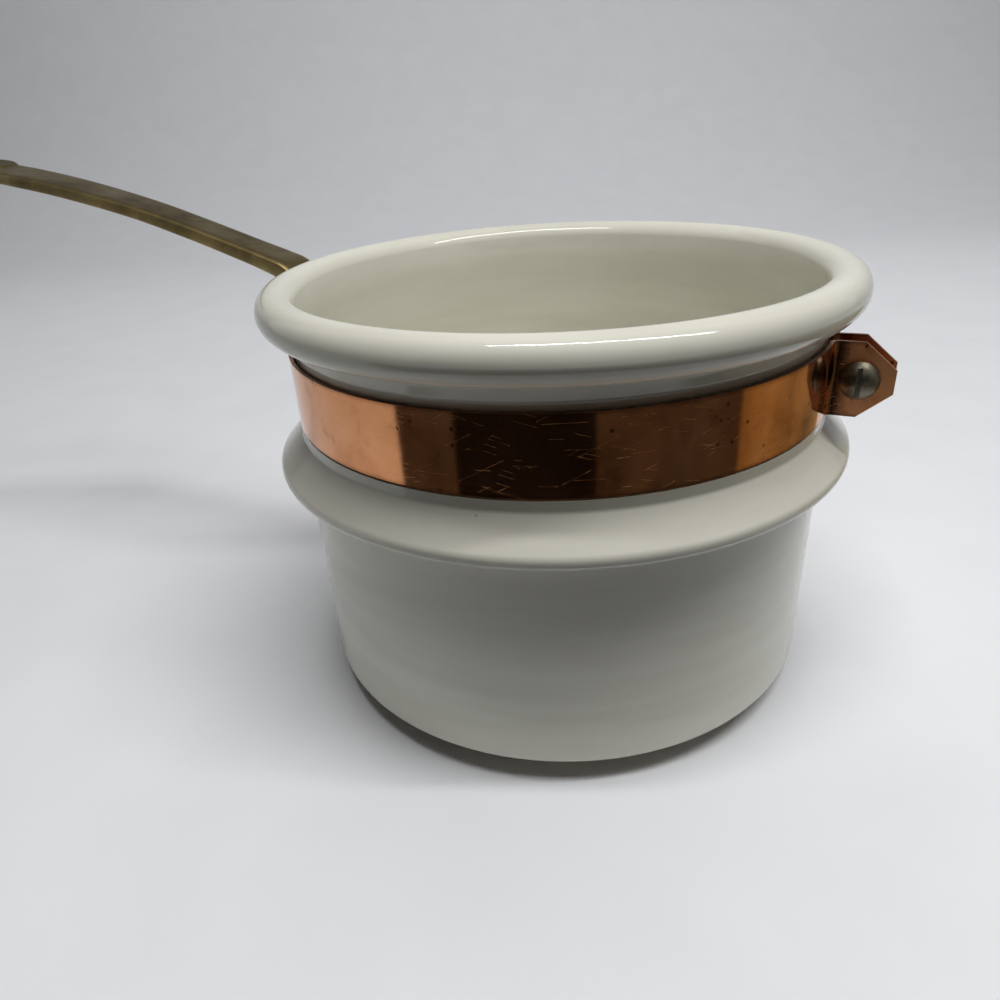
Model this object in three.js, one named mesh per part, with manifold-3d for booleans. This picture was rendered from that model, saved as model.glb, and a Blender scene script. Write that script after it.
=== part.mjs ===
// Ceramic insert of a double boiler: a glazed pot whose collar hangs on the rim of a lower pan.
// A split copper strap is drawn tight round its neck by a slotted screw and a nut,
// and carries a cast brass handle on three rivets.
// Millimetres, +Z up. The origin is the middle of the flat base, the handle points along -X
// and the strap's split faces +X.
import * as THREE from 'three';
import { mergeVertices } from 'three/addons/utils/BufferGeometryUtils.js';
import Module from 'manifold-3d';

const wasm = await Module();
wasm.setup();

// The gap left between neighbouring pieces.
const fit = 0.25;
// Sides of the small round pieces, and steps across a domed head and a rounded corner.
const smallSides = 20;
const domeSteps = 5;
const cornerSteps = 6;
const filletSteps = 2;
const beadSteps = 14;

// Pot: radii are from its axis and heights from its base. Its rim, collar and body stand out
// beyond the neck that the strap grips.
const neckRadius = 72.4;
const rimOverhang = 7.6;
const collarOverhang = 8.3;
const bodyOverhang = 1.6;
const bodyDraft = 0.4;
const baseCornerRadius = 2.2;
const floorThickness = 6;
const floorFilletRadius = 11;
const neckWall = 2.8;
const innerDraft = 0.8;
const beadRadius = 5.2;
const collarEdgeRadius = 2.5;
const collarSeatHeight = 61.6;
const collarFilletRadius = 1;
const shoulderFilletRadius = 1;
const neckBaseHeight = 3.2;
const neckAboveStrap = 6;
const neckLedgeWidth = 1;
const neckStepDepth = 0.4;
const neckStepDrop = 3.8;
const coveDrop = 1.6;
const potSides = 64;
// How far the collar's sloping top faces up, in degrees.
const collarSlope = 45;

// Strap: a flat strip round the neck, its two ends bent out into ears with clipped corners.
const strapThickness = 0.9;
const strapHeight = 18.8;
const earGap = 6;
const earBendRadius = 1.2;
const earReach = 14.4;
const earClipLength = 7.5;
const earClipDrop = 6.5;
const strapSides = 84;
const bendSteps = 4;

// Clamp screw and nut, on one line across both ears.
const screwRadius = 2.45;
const screwHeadRadius = 4.75;
const screwHeadHeight = 3.4;
const screwHeadToBend = 0.5;
const slotWidth = 1.2;
const slotDepth = 1.6;
const nutAcrossFlats = 8;
const nutThickness = 4;
const screwBeyondNut = 5.2;
const threadChamfer = 0.6;

// Handle foot: a saddle on the strap, rounded about its three rivets.
const footThickness = 3;
const footLobeRadius = 4.7;
const upperRivetSpread = 14.7;
const upperRivetHeight = 3.1;
const lowerRivetDrop = 4.5;

// Rivets: domed outside, with a tail flared into the strap so that it lies flush inside.
const rivetRadius = 2;
const rivetHeadRadius = 3.2;
const rivetHeadHeight = 1.9;
const rivetFlare = 0.7;
const rivetFlareDepth = 0.6;

// Handle bar: it leaves the foot level, rises behind the rim and runs out to a hanging eye.
const rootHeight = 3.9;
const rootWidth = 19;
const rootThickness = 8.4;
const rootTaper = 1.8;
const rootRun = 1.2;
const eyeRadius = 11;
const eyeHoleRadius = 5;
const eyeThickness = 5.6;
const eyeEdge = 1.5;
// Each place along the bar: distance out from the rim, height above the rim's top, width, thickness.
const barPlaces = [
  { out: 1.8, rise: -18.4, width: 16, thickness: 7.6 },
  { out: 4.6, rise: -11.4, width: 15, thickness: 6.8 },
  { out: 9, rise: -5, width: 14.2, thickness: 5.9 },
  { out: 16, rise: -2, width: 13.8, thickness: 5.2 },
  { out: 28, rise: 1.8, width: 13.4, thickness: 4.8 },
  { out: 48, rise: 7.9, width: 13.6, thickness: 4.6 },
  { out: 70, rise: 14, width: 14.6, thickness: 4.4 },
  { out: 100, rise: 20.6, width: 16.6, thickness: 4.4 },
  { out: 128, rise: 25.4, width: 18.6, thickness: 4.4 },
  { out: 146, rise: 27.8, width: 19, thickness: 4.4 },
];
const barSections = 30;
// Below 1 the bar's section fills out towards a rectangle with rounded edges.
const barRoundness = 0.4;

// Places that follow from the sizes above.
const rimRadius = neckRadius + rimOverhang;
const collarRadius = neckRadius + collarOverhang;
const bodyRadius = neckRadius + bodyOverhang;
const slope = THREE.MathUtils.degToRad(collarSlope);
const collarX = collarRadius - collarEdgeRadius;
const collarMiddle = collarSeatHeight + collarEdgeRadius;
const ledgeRadius = neckRadius + neckLedgeWidth;
const shoulderRun = collarX + collarEdgeRadius * Math.cos(slope) - ledgeRadius;
const shoulderTop = collarMiddle + collarEdgeRadius * Math.sin(slope) + shoulderRun / Math.tan(slope);
const neckLedgeHeight = shoulderTop + neckBaseHeight;
const strapBottom = neckLedgeHeight + fit;
const beadBottom = strapBottom + strapHeight + neckAboveStrap;
const potHeight = beadBottom + 2 * beadRadius;
const strapMiddle = strapBottom + strapHeight / 2;
const strapInner = neckRadius + fit;
const strapOuter = strapInner + strapThickness;
const earFace = earGap / 2 + strapThickness;
const earTip = strapOuter + earReach;
const screwX = strapOuter + earBendRadius + screwHeadToBend + screwHeadRadius;
const footInner = strapOuter + fit;
const footOuter = footInner + footThickness;
const riveted = [
  { name: 'foot_rivet_front', across: upperRivetSpread, height: strapMiddle + upperRivetHeight },
  { name: 'foot_rivet_back', across: -upperRivetSpread, height: strapMiddle + upperRivetHeight },
  { name: 'foot_rivet_low', across: 0, height: strapMiddle - lowerRivetDrop },
];

const glaze = { color: '#d9d7cd', roughness: 0.14, metalness: 0 };
const copper = { color: '#c98a5e', roughness: 0.22, metalness: 1 };
const brass = { color: '#8a7448', roughness: 0.38, metalness: 1 };
const agedSteel = { color: '#6f6d62', roughness: 0.45, metalness: 1 };

function mesh(name, geometry, finish) {
  const piece = new THREE.Mesh(geometry, new THREE.MeshStandardMaterial(finish));
  piece.name = name;
  return piece;
}

// Points on an arc about (x, y), angles in degrees.
function arc(x, y, radius, from, to, steps) {
  const points = [];
  for (let i = 0; i <= steps; i += 1) {
    const angle = THREE.MathUtils.degToRad(from + ((to - from) * i) / steps);
    points.push(new THREE.Vector2(x + radius * Math.cos(angle), y + radius * Math.sin(angle)));
  }
  return points;
}

function point(x, y) {
  return new THREE.Vector2(x, y);
}

// The profile of a domed head from its edge up to just short of its crown, grown by a clearance.
function dome(radius, height, base, clearance) {
  const ball = (radius ** 2 + height ** 2) / (2 * height);
  const centre = base + height - ball;
  const edge = THREE.MathUtils.radToDeg(Math.asin((base - centre) / ball));
  return arc(0, centre, ball + clearance, edge, 90, domeSteps).slice(1, -1);
}

// A profile of (radius, height) points turned about the Z axis.
function turned(profile, sides) {
  const geometry = new THREE.LatheGeometry(profile, sides);
  return geometry.rotateX(Math.PI / 2);
}

// A flat outline raised along Z.
function raised(points, height) {
  return new THREE.ExtrudeGeometry(new THREE.Shape(points), { depth: height, bevelEnabled: false });
}

function solid(geometry) {
  const bare = new THREE.BufferGeometry();
  bare.setAttribute('position', geometry.getAttribute('position'));
  bare.setIndex(geometry.getIndex());
  const welded = mergeVertices(bare, 1e-4);
  const data = new wasm.Mesh({
    numProp: 3,
    vertProperties: Float32Array.from(welded.getAttribute('position').array),
    triVerts: Uint32Array.from(welded.getIndex().array),
  });
  data.merge();
  return new wasm.Manifold(data);
}

function surface(body) {
  const data = body.getMesh();
  const geometry = new THREE.BufferGeometry();
  geometry.setAttribute('position', new THREE.BufferAttribute(data.vertProperties, 3));
  geometry.setIndex(new THREE.BufferAttribute(data.triVerts, 1));
  geometry.computeVertexNormals();
  return geometry;
}

// The pot is one revolve: flat base, collar, necked-in seat for the strap, rolled rim and hollow.
function ceramicPot() {
  const baseRadius = bodyRadius - bodyDraft;
  const cornerX = baseRadius - baseCornerRadius;
  const beadX = rimRadius - beadRadius;
  const beadMiddle = beadBottom + beadRadius;
  const stepHeight = beadBottom - neckStepDrop;
  const innerTop = neckRadius - neckWall;
  const innerRadius = innerTop - innerDraft;
  const filletX = innerRadius - floorFilletRadius;
  const filletHeight = floorThickness + floorFilletRadius;
  const shoulderRise = shoulderFilletRadius * Math.tan(slope / 2);
  const coveAngle = -104;
  const lipAngle = 165;
  const profile = [
    point(0, 0),
    ...arc(cornerX, baseCornerRadius, baseCornerRadius, -90, 0, cornerSteps),
    ...arc(bodyRadius + collarFilletRadius, collarSeatHeight - collarFilletRadius,
      collarFilletRadius, 180, 90, filletSteps),
    ...arc(collarX, collarMiddle, collarEdgeRadius, -90, collarSlope, cornerSteps),
    ...arc(ledgeRadius + shoulderFilletRadius, shoulderTop + shoulderRise, shoulderFilletRadius,
      180 + collarSlope, 180, filletSteps),
    point(ledgeRadius, neckLedgeHeight - neckStepDepth),
    point(neckRadius, neckLedgeHeight),
    point(neckRadius, stepHeight - neckStepDepth),
    point(neckRadius + neckStepDepth, stepHeight),
    point(neckRadius + neckStepDepth, beadBottom - coveDrop),
    ...arc(beadX, beadMiddle, beadRadius, coveAngle, lipAngle, beadSteps),
    point(innerTop - innerDraft / 4, beadBottom),
    ...arc(filletX, filletHeight, floorFilletRadius, 0, -90, cornerSteps),
    point(0, floorThickness),
  ];
  return mesh('ceramic_pot', turned(profile, potSides), glaze);
}

// The strap seen from above: one strip that follows the neck and turns out at both ends.
function strapOutline() {
  const bendY = earFace + earBendRadius;
  const bendX = Math.sqrt((strapOuter + earBendRadius) ** 2 - bendY ** 2);
  const turn = THREE.MathUtils.radToDeg(Math.atan2(bendY, bendX));
  const outside = earBendRadius;
  const inside = earBendRadius + strapThickness;
  return [
    point(earTip, earFace),
    ...arc(bendX, bendY, outside, -90, turn - 180, bendSteps),
    ...arc(0, 0, strapOuter, turn, 360 - turn, strapSides).slice(1, -1),
    ...arc(bendX, -bendY, outside, 180 - turn, 90, bendSteps),
    point(earTip, -earFace),
    point(earTip, -earGap / 2),
    ...arc(bendX, -bendY, inside, 90, 180 - turn, bendSteps),
    ...arc(0, 0, strapInner, 360 - turn, turn, strapSides).slice(1, -1),
    ...arc(bendX, bendY, inside, turn - 180, -90, bendSteps),
    point(earTip, earGap / 2),
  ];
}

// One clipped corner of the ears, as a wedge that reaches across both of them.
function earClip(edgeHeight, inward) {
  const beyond = 1;
  const start = earTip - earClipLength;
  const depth = 2 * (earFace + beyond);
  const slope = earClipDrop / earClipLength;
  const wedge = raised([
    point(start - beyond, edgeHeight - inward * beyond * slope),
    point(earTip + beyond, edgeHeight - inward * beyond * slope),
    point(earTip + beyond, edgeHeight + inward * (earClipDrop + beyond * slope)),
  ], depth);
  return solid(wedge.rotateX(Math.PI / 2).translate(0, depth / 2, 0));
}

// A round bar along Y, for the holes that the screw passes through.
function barAlongY(radius, length) {
  return new THREE.CylinderGeometry(radius, radius, length, smallSides);
}

function clampBand() {
  const strip = raised(strapOutline(), strapHeight).translate(0, 0, strapBottom);
  const hole = barAlongY(screwRadius + fit, 4 * earFace).translate(screwX, 0, strapMiddle);
  let band = solid(strip)
    .subtract(earClip(strapBottom, 1))
    .subtract(earClip(strapBottom + strapHeight, -1))
    .subtract(solid(hole));
  for (const place of riveted) band = band.subtract(solid(placeRivet(rivetShape(fit), place)));
  return mesh('clamp_band', surface(band), copper);
}

// A rivet along +Z, measured from the strap's inner face: grown by the clearance it cuts its hole.
function rivetShape(clearance) {
  const shank = rivetRadius + clearance;
  const headBase = footOuter + fit - strapInner;
  const head = rivetHeadRadius + clearance;
  return turned([
    point(0, -clearance),
    point(shank + rivetFlare, -clearance),
    point(shank + rivetFlare, 0),
    point(shank, rivetFlareDepth),
    point(shank, headBase),
    point(head, headBase),
    ...dome(rivetHeadRadius, rivetHeadHeight, headBase, clearance),
    point(0, headBase + rivetHeadHeight + clearance),
  ], smallSides);
}

// Turns a rivet to point outwards through the strap on the handle's side.
function placeRivet(geometry, place) {
  const swing = Math.PI - Math.asin(place.across / strapOuter);
  return geometry
    .rotateY(Math.PI / 2)
    .translate(strapInner, 0, 0)
    .rotateZ(-swing)
    .translate(0, 0, place.height);
}

function footRivet(place) {
  return mesh(place.name, placeRivet(rivetShape(0), place), copper);
}

// A polygon grown by a radius, so that its corners are round.
function roundedOutline(corners, radius) {
  const points = [];
  corners.forEach((corner, i) => {
    const before = corners[(i + corners.length - 1) % corners.length];
    const after = corners[(i + 1) % corners.length];
    const from = THREE.MathUtils.radToDeg(corner.clone().sub(before).angle()) - 90;
    let to = THREE.MathUtils.radToDeg(after.clone().sub(corner).angle()) - 90;
    while (to < from) to += 360;
    points.push(...arc(corner.x, corner.y, radius, from, to, cornerSteps));
  });
  return points;
}

// The saddle foot: a piece of a thick ring, cut to the outline of three round lobes.
function handleFoot() {
  const spread = THREE.MathUtils.radToDeg((upperRivetSpread + 2 * footLobeRadius) / footInner);
  const ring = raised([
    ...arc(0, 0, footOuter, 180 - spread, 180 + spread, smallSides),
    ...arc(0, 0, footInner, 180 + spread, 180 - spread, smallSides),
  ], strapHeight).translate(0, 0, strapBottom);
  const lobes = riveted.map((place) => point(place.across, place.height));
  const plate = raised(roundedOutline(lobes, footLobeRadius), footOuter * 2);
  plate.rotateX(Math.PI / 2).rotateZ(-Math.PI / 2);
  return solid(ring).intersect(solid(plate));
}

// The bar: a round rod drawn along a curve, its section changing from a thick root to a flat grip.
function handleBar() {
  const rootLevel = strapMiddle + rootHeight;
  const places = [
    new THREE.Vector3(footInner + footThickness / 2, rootLevel, 0),
    new THREE.Vector3(footOuter + rootRun, rootLevel, 0),
    ...barPlaces.map((p) => new THREE.Vector3(rimRadius + p.out, potHeight + p.rise, 0)),
  ];
  const sizes = [
    new THREE.Vector3(rootWidth, rootThickness, 0),
    new THREE.Vector3(rootWidth - rootTaper, rootThickness, 0),
    ...barPlaces.map((p) => new THREE.Vector3(p.width, p.thickness, 0)),
  ];
  const line = new THREE.CatmullRomCurve3(places);
  const section = new THREE.CatmullRomCurve3(sizes);
  const rod = new THREE.CylinderGeometry(1, 1, 1, smallSides, barSections);
  const at = rod.getAttribute('position');
  const swell = (v) => Math.sign(v) * Math.abs(v) ** barRoundness;
  for (let i = 0; i < at.count; i += 1) {
    const t = at.getY(i) + 0.5;
    const centre = line.getPoint(t);
    const along = line.getTangent(t);
    const size = section.getPoint(t);
    const across = (swell(at.getX(i)) * size.x) / 2;
    const lift = (swell(at.getZ(i)) * size.y) / 2;
    at.setXYZ(i, along.y * lift - centre.x, across, centre.y + along.x * lift);
  }
  return { body: solid(rod), end: places.at(-1), slope: line.getTangent(1) };
}

// The round eye at the bar's end: a disc with eased edges.
function handleEye() {
  const half = eyeThickness / 2;
  return turned([
    point(0, -half),
    point(eyeRadius - eyeEdge, -half),
    point(eyeRadius, eyeEdge - half),
    point(eyeRadius, half - eyeEdge),
    point(eyeRadius - eyeEdge, half),
    point(0, half),
  ], 2 * smallSides);
}

function handle() {
  const bar = handleBar();
  const tilt = Math.atan2(bar.slope.y, bar.slope.x);
  const atEnd = (geometry) => solid(geometry.rotateY(tilt).translate(-bar.end.x, 0, bar.end.y));
  const hole = barAlongY(eyeHoleRadius, 3 * eyeThickness).rotateX(Math.PI / 2);
  let casting = handleFoot().add(bar.body).add(atEnd(handleEye())).subtract(atEnd(hole));
  for (const place of riveted) casting = casting.subtract(solid(placeRivet(rivetShape(fit), place)));
  return mesh('handle', surface(casting), brass);
}

// The screw is drawn along +Z with its head up, then laid along Y with the head at the front ear.
function clampScrew() {
  const length = 2 * earFace + 2 * fit + nutThickness + screwBeyondNut;
  const shape = solid(turned([
    point(0, -length),
    point(screwRadius - threadChamfer, -length),
    point(screwRadius, threadChamfer - length),
    point(screwRadius, 0),
    point(screwHeadRadius, 0),
    ...dome(screwHeadRadius, screwHeadHeight, 0, 0),
    point(0, screwHeadHeight),
  ], smallSides));
  const slot = new THREE.BoxGeometry(slotWidth, 3 * screwHeadRadius, 2 * slotDepth);
  const cut = shape.subtract(solid(slot.translate(0, 0, screwHeadHeight)));
  const screw = mesh('clamp_screw', surface(cut), agedSteel);
  screw.rotation.x = Math.PI / 2;
  screw.position.set(screwX, -earFace - fit, strapMiddle);
  return screw;
}

// A hexagon nut with its corners turned off on both faces.
function clampNut() {
  const corner = nutAcrossFlats / 2 / Math.cos(Math.PI / 6);
  const bevel = corner - nutAcrossFlats / 2;
  const hexagon = new THREE.CylinderGeometry(corner, corner, nutThickness, 6);
  const crown = turned([
    point(0, -nutThickness / 2),
    point(nutAcrossFlats / 2, -nutThickness / 2),
    point(corner, bevel - nutThickness / 2),
    point(corner, nutThickness / 2 - bevel),
    point(nutAcrossFlats / 2, nutThickness / 2),
    point(0, nutThickness / 2),
  ], 2 * smallSides).rotateX(Math.PI / 2);
  const bore = barAlongY(screwRadius + fit, 2 * nutThickness);
  const body = solid(hexagon).intersect(solid(crown)).subtract(solid(bore));
  const nut = mesh('clamp_nut', surface(body), agedSteel);
  nut.position.set(screwX, earFace + fit + nutThickness / 2, strapMiddle);
  return nut;
}

const clamp = new THREE.Group();
clamp.add(clampBand(), clampScrew(), clampNut());

const handleSet = new THREE.Group();
handleSet.add(handle(), ...riveted.map(footRivet));

const insert = new THREE.Group();
insert.name = 'double_boiler_insert';
insert.add(ceramicPot(), clamp, handleSet);

export default insert;
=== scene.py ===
import math

import bmesh
import bpy
from mathutils import Matrix, Vector


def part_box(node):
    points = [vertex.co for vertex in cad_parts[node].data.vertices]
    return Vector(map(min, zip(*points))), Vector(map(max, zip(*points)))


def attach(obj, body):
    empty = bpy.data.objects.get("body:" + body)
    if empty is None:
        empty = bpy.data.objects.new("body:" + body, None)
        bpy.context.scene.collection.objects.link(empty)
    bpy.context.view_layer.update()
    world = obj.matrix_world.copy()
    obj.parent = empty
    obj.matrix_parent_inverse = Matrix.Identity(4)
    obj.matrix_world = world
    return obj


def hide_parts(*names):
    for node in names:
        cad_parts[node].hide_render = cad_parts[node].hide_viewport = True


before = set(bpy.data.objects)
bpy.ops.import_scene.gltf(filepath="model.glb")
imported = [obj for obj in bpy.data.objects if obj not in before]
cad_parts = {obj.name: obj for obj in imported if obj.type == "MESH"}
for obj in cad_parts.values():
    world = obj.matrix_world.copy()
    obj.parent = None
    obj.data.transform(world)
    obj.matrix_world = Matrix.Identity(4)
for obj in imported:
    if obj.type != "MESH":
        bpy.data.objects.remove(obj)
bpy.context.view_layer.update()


# Pot
# The ceramic insert itself: a slip-cast body with a rolled rim, a neck for the strap and a collar that
# hangs on the lower pan. It is dipped in off-white glaze and wiped bare on the foot it was fired on.
MM = 0.001
POT_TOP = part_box("ceramic_pot")[1].z
BEAD_RADIUS = 5.2 * MM
RIM_RADIUS = 80 * MM
COLLAR_RADIUS = 80.7 * MM
COLLAR_EDGE = 2.5 * MM
COLLAR_SEAT = 61.6 * MM
COLLAR_SLOPE = 45
SEAT_FILLET = 1 * MM
BODY_RADIUS = 74 * MM
BODY_BOW = 0.1 * MM
BODY_BOW_HEIGHT = 0.7 * COLLAR_SEAT
BASE_RADIUS = 73.6 * MM
BASE_CORNER = 2.2 * MM
NECK_RADIUS = 72.4 * MM
NECK_BASE_RADIUS = NECK_RADIUS + 1 * MM
NECK_STEP = 0.4 * MM
NECK_STEP_DROP = 3.8 * MM
UNDER_RIM = 1.6 * MM
STRAP_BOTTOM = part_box("clamp_band")[0].z
CLEARANCE = 0.25 * MM
NECK_LEDGE = STRAP_BOTTOM - CLEARANCE
SHOULDER_FILLET = 1.2 * MM
INNER_RADIUS = 68.8 * MM
INNER_TOP = 69.4 * MM
FLOOR_THICKNESS = 6 * MM
FLOOR_FILLET = 11 * MM
BARE_BELOW = 0.02 * MM
POT_STEPS = 256


def colour(hex_code):
    """The linear RGBA of an sRGB hex code."""
    channels = [int(hex_code[i : i + 2], 16) / 255 for i in (1, 3, 5)]
    linear = [c / 12.92 if c <= 0.04045 else ((c + 0.055) / 1.055) ** 2.4 for c in channels]
    return (*linear, 1.0)


def add(tree, kind, stops=(), **values):
    """A shader node with its settings, its socket values or links and, on a ramp, its colour stops."""
    node = tree.nodes.new(kind)
    for name, value in values.items():
        if hasattr(node, name):
            setattr(node, name, value)
            continue
        numbered = name[0] == "i" and name[1:].isdigit()
        socket = node.inputs[int(name[1:]) if numbered else name.replace("_", " ")]
        if isinstance(value, bpy.types.NodeSocket):
            tree.links.new(value, socket)
        else:
            socket.default_value = value
    if stops:
        elements = node.color_ramp.elements
        while len(elements) < len(stops):
            elements.new(0.5)
        for element, (position, rgba) in zip(elements, stops):
            element.position = position
            element.color = rgba
    return node


def new_material(name):
    """An empty material with its node tree, its output and the Object coordinates."""
    material = bpy.data.materials.new(name)
    material.use_nodes = True
    tree = material.node_tree
    tree.nodes.clear()
    output = tree.nodes.new("ShaderNodeOutputMaterial")
    place = tree.nodes.new("ShaderNodeTexCoord").outputs["Object"]
    return material, tree, output, place


def arc(x, z, radius, start, end, steps):
    """Points on an arc in the XZ plane, angles in degrees."""
    angles = [math.radians(start + (end - start) * i / steps) for i in range(steps + 1)]
    return [Vector((x + radius * math.cos(a), 0, z + radius * math.sin(a))) for a in angles]


def turned(profile, steps):
    """A bmesh of a profile in the XZ plane, turned once about Z."""
    bm = bmesh.new()
    verts = [bm.verts.new(p) for p in profile]
    edges = [bm.edges.new(pair) for pair in zip(verts, verts[1:])]
    bmesh.ops.spin(
        bm,
        geom=verts + edges,
        cent=(0, 0, 0),
        axis=(0, 0, 1),
        angle=math.tau,
        steps=steps,
        use_merge=True,
    )
    bmesh.ops.remove_doubles(bm, verts=bm.verts, dist=1e-7)
    bmesh.ops.recalc_face_normals(bm, faces=bm.faces)
    return bm


def finished(name, bm, materials, sharp_degrees):
    """The object of a bmesh, smooth but for its sharp edges."""
    mesh = bpy.data.meshes.new(name)
    bm.to_mesh(mesh)
    bm.free()
    for material in materials:
        mesh.materials.append(material)
    mesh.polygons.foreach_set("use_smooth", [True] * len(mesh.polygons))
    mesh.set_sharp_from_angle(angle=math.radians(sharp_degrees))
    piece = bpy.data.objects.new(name, mesh)
    bpy.context.scene.collection.objects.link(piece)
    return piece


def glaze_material():
    """Off-white glaze: a glossy skin with a faint ripple, level bands of tone and a few iron specks."""
    band_length = 62.5 * MM
    band_height = 8.93 * MM
    speck_spacing = 6.67 * MM
    ripple_size = 16.7 * MM
    material, tree, output, place = new_material("off-white glaze")
    bands = add(
        tree, "ShaderNodeMapping", Vector=place, Scale=(1 / band_length, 1 / band_length, 1 / band_height)
    )
    drift = add(tree, "ShaderNodeTexNoise", Vector=bands.outputs[0], Scale=1.0, Detail=4.0, Roughness=0.55)
    tone = add(
        tree,
        "ShaderNodeValToRGB",
        Fac=drift.outputs["Fac"],
        stops=[(0.3, colour("#d7d5c6")), (0.7, colour("#e3e1d4"))],
    )
    specks = add(tree, "ShaderNodeTexVoronoi", Vector=place, Scale=1 / speck_spacing)
    dots = add(
        tree, "ShaderNodeMapRange", Value=specks.outputs["Distance"], i1=0.03, i2=0.07, i3=0.45, i4=0.0
    )
    chance = add(tree, "ShaderNodeMath", operation="GREATER_THAN", i0=specks.outputs["Color"], i1=0.8)
    speck = add(tree, "ShaderNodeMath", operation="MULTIPLY", i0=dots.outputs[0], i1=chance.outputs[0])
    base = add(
        tree,
        "ShaderNodeMix",
        data_type="RGBA",
        i0=speck.outputs[0],
        i6=tone.outputs["Color"],
        i7=colour("#6d6455"),
    )
    ripple = add(tree, "ShaderNodeTexNoise", Vector=place, Scale=1 / ripple_size, Detail=2.0)
    bump = add(tree, "ShaderNodeBump", Strength=0.12, Distance=0.4 * MM, Height=ripple.outputs["Fac"])
    shader = add(
        tree,
        "ShaderNodeBsdfPrincipled",
        Base_Color=base.outputs[2],
        Roughness=0.06,
        IOR=1.5,
        Normal=bump.outputs["Normal"],
    )
    tree.links.new(shader.outputs[0], output.inputs[0])
    return material


def bare_foot_material():
    """Unglazed stoneware: matt, sandy and slightly stained where it stood in the kiln."""
    grain_size = 1.11 * MM
    material, tree, output, place = new_material("unglazed stoneware")
    grain = add(tree, "ShaderNodeTexNoise", Vector=place, Scale=1 / grain_size, Detail=4.0)
    tone = add(
        tree,
        "ShaderNodeValToRGB",
        Fac=grain.outputs["Fac"],
        stops=[(0.3, colour("#b9ae9c")), (0.7, colour("#cfc6b4"))],
    )
    bump = add(tree, "ShaderNodeBump", Strength=0.3, Distance=0.2 * MM, Height=grain.outputs["Fac"])
    shader = add(
        tree,
        "ShaderNodeBsdfPrincipled",
        Base_Color=tone.outputs["Color"],
        Roughness=0.85,
        Normal=bump.outputs["Normal"],
    )
    tree.links.new(shader.outputs[0], output.inputs[0])
    return material


def pot_profile():
    """The section of the pot's wall, from the middle of its base round to the middle of its floor."""
    bead_x = RIM_RADIUS - BEAD_RADIUS
    bead_z = POT_TOP - BEAD_RADIUS
    bead_bottom = bead_z - BEAD_RADIUS
    collar_x = COLLAR_RADIUS - COLLAR_EDGE
    collar_z = COLLAR_SEAT + COLLAR_EDGE
    slope = math.radians(COLLAR_SLOPE)
    shoulder_run = collar_x + COLLAR_EDGE * math.cos(slope) - NECK_BASE_RADIUS
    shoulder_top = collar_z + COLLAR_EDGE * math.sin(slope) + shoulder_run / math.tan(slope)
    fillet_x = NECK_BASE_RADIUS + SHOULDER_FILLET
    fillet_z = shoulder_top + SHOULDER_FILLET * math.tan(slope / 2)
    step_z = bead_bottom - NECK_STEP_DROP
    return [
        Vector((0, 0, 0)),
        *arc(BASE_RADIUS - BASE_CORNER, BASE_CORNER, BASE_CORNER, -90, 0, 12),
        Vector((BODY_RADIUS - BODY_BOW, 0, BODY_BOW_HEIGHT)),
        *arc(BODY_RADIUS + SEAT_FILLET, COLLAR_SEAT - SEAT_FILLET, SEAT_FILLET, 180, 90, 6),
        *arc(collar_x, collar_z, COLLAR_EDGE, -90, COLLAR_SLOPE, 16),
        *arc(fillet_x, fillet_z, SHOULDER_FILLET, 180 + COLLAR_SLOPE, 180, 8),
        Vector((NECK_BASE_RADIUS, 0, NECK_LEDGE - NECK_STEP)),
        Vector((NECK_RADIUS, 0, NECK_LEDGE)),
        Vector((NECK_RADIUS, 0, step_z - NECK_STEP)),
        Vector((NECK_RADIUS + NECK_STEP / 2, 0, step_z - NECK_STEP / 4)),
        Vector((NECK_RADIUS + NECK_STEP, 0, step_z + NECK_STEP)),
        Vector((NECK_RADIUS + NECK_STEP, 0, bead_bottom - UNDER_RIM)),
        *arc(bead_x, bead_z, BEAD_RADIUS, -104, 165, 36),
        Vector((INNER_TOP, 0, bead_bottom)),
        *arc(INNER_RADIUS - FLOOR_FILLET, FLOOR_THICKNESS + FLOOR_FILLET, FLOOR_FILLET, 0, -90, 12),
        Vector((0, 0, FLOOR_THICKNESS)),
    ]


pot_bm = turned(pot_profile(), POT_STEPS)
for face in pot_bm.faces:
    face.material_index = int(face.calc_center_median().z < BARE_BELOW)
pot = finished("ceramic_pot_glazed", pot_bm, [glaze_material(), bare_foot_material()], 50)
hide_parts("ceramic_pot")
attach(pot, "pot_and_handle")


# Strap
# One strip of copper rolled round the neck, its two ends bent outwards as ears with clipped corners.
# It is polished, with the fine lines of the polishing wheel running round it.
STRAP_INNER = NECK_RADIUS + CLEARANCE
STRAP_THICKNESS = 0.9 * MM
STRAP_OUTER = STRAP_INNER + STRAP_THICKNESS
STRAP_HEIGHT = 18.8 * MM
STRAP_MIDDLE = STRAP_BOTTOM + STRAP_HEIGHT / 2
EAR_GAP = 6 * MM
EAR_FACE = EAR_GAP / 2 + STRAP_THICKNESS
EAR_BEND = 1.2 * MM
EAR_LENGTH = 14.4 * MM
EAR_TIP = STRAP_OUTER + EAR_LENGTH
EAR_CLIP_LENGTH = 7.5 * MM
EAR_CLIP_DROP = 6.5 * MM
SCREW_RADIUS = 2.45 * MM
SCREW_HEAD_RADIUS = 4.75 * MM
SCREW_FROM_BEND = 0.5 * MM
SCREW_X = STRAP_OUTER + EAR_BEND + SCREW_FROM_BEND + SCREW_HEAD_RADIUS
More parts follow.
